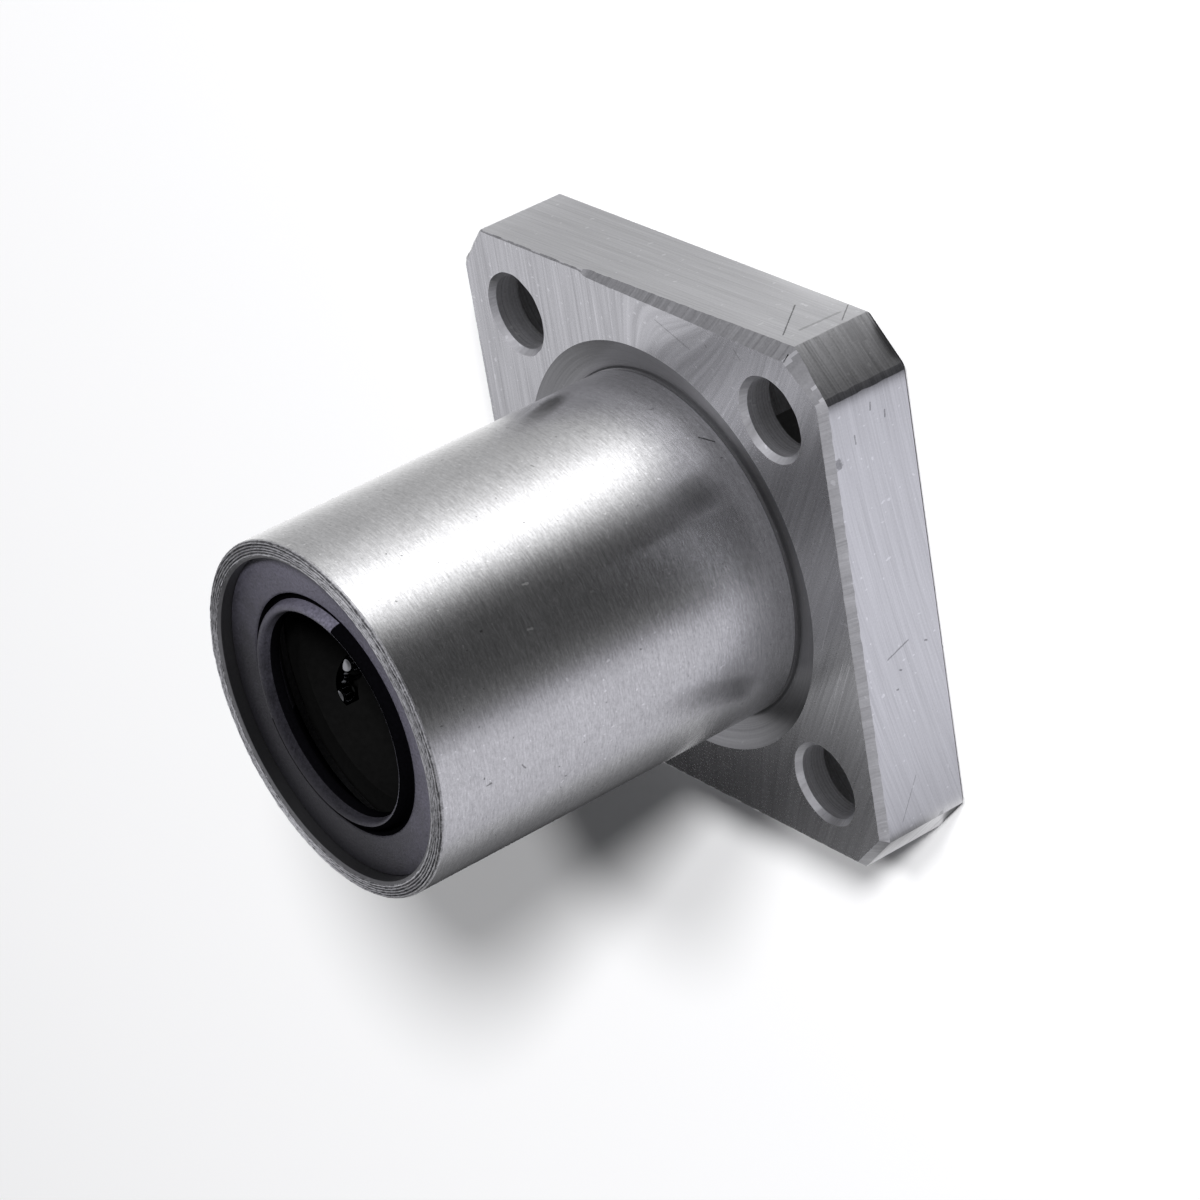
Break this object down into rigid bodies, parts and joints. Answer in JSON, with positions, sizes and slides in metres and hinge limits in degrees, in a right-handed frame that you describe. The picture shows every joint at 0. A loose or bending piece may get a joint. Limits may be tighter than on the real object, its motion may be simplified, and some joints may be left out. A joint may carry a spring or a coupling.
{
  "type": "square flange linear bearing",
  "caption": "Linear ball bearing with a round barrel, a square bolt-on flange with cut corners and a rubber wiper seal at each end.",
  "frame": {"origin": "centre of the bore on the flange's outer face, the face away from the barrel", "axes": "+Z along the bore towards the barrel's nose, X and Y square to the flange's sides"},
  "size_m": [0.032, 0.032, 0.03],
  "materials": {
    "bearing_steel": "ground barrel, milled flange sides",
    "cage_resin": "moulded black resin",
    "seal_rubber": "matt moulded rubber",
    "spring_steel": "dark oiled spring steel",
    "ball_steel": "polished"
  },
  "bodies": {
    "root": {"flanged_sleeve": "bearing_steel", "ball_retainer": "cage_resin", "nose_seal": "seal_rubber", "flange_seal": "seal_rubber", "nose_retaining_ring": "spring_steel", "flange_retaining_ring": "spring_steel", "loaded_balls_1": "ball_steel", "nose_turn_balls_1": "ball_steel", "return_balls_1": "ball_steel", "flange_turn_balls_1": "ball_steel", "loaded_balls_2": "ball_steel", "nose_turn_balls_2": "ball_steel", "return_balls_2": "ball_steel", "flange_turn_balls_2": "ball_steel", "loaded_balls_3": "ball_steel", "nose_turn_balls_3": "ball_steel", "return_balls_3": "ball_steel", "flange_turn_balls_3": "ball_steel", "loaded_balls_4": "ball_steel", "nose_turn_balls_4": "ball_steel", "return_balls_4": "ball_steel", "flange_turn_balls_4": "ball_steel"}
  },
  "joints": []
}
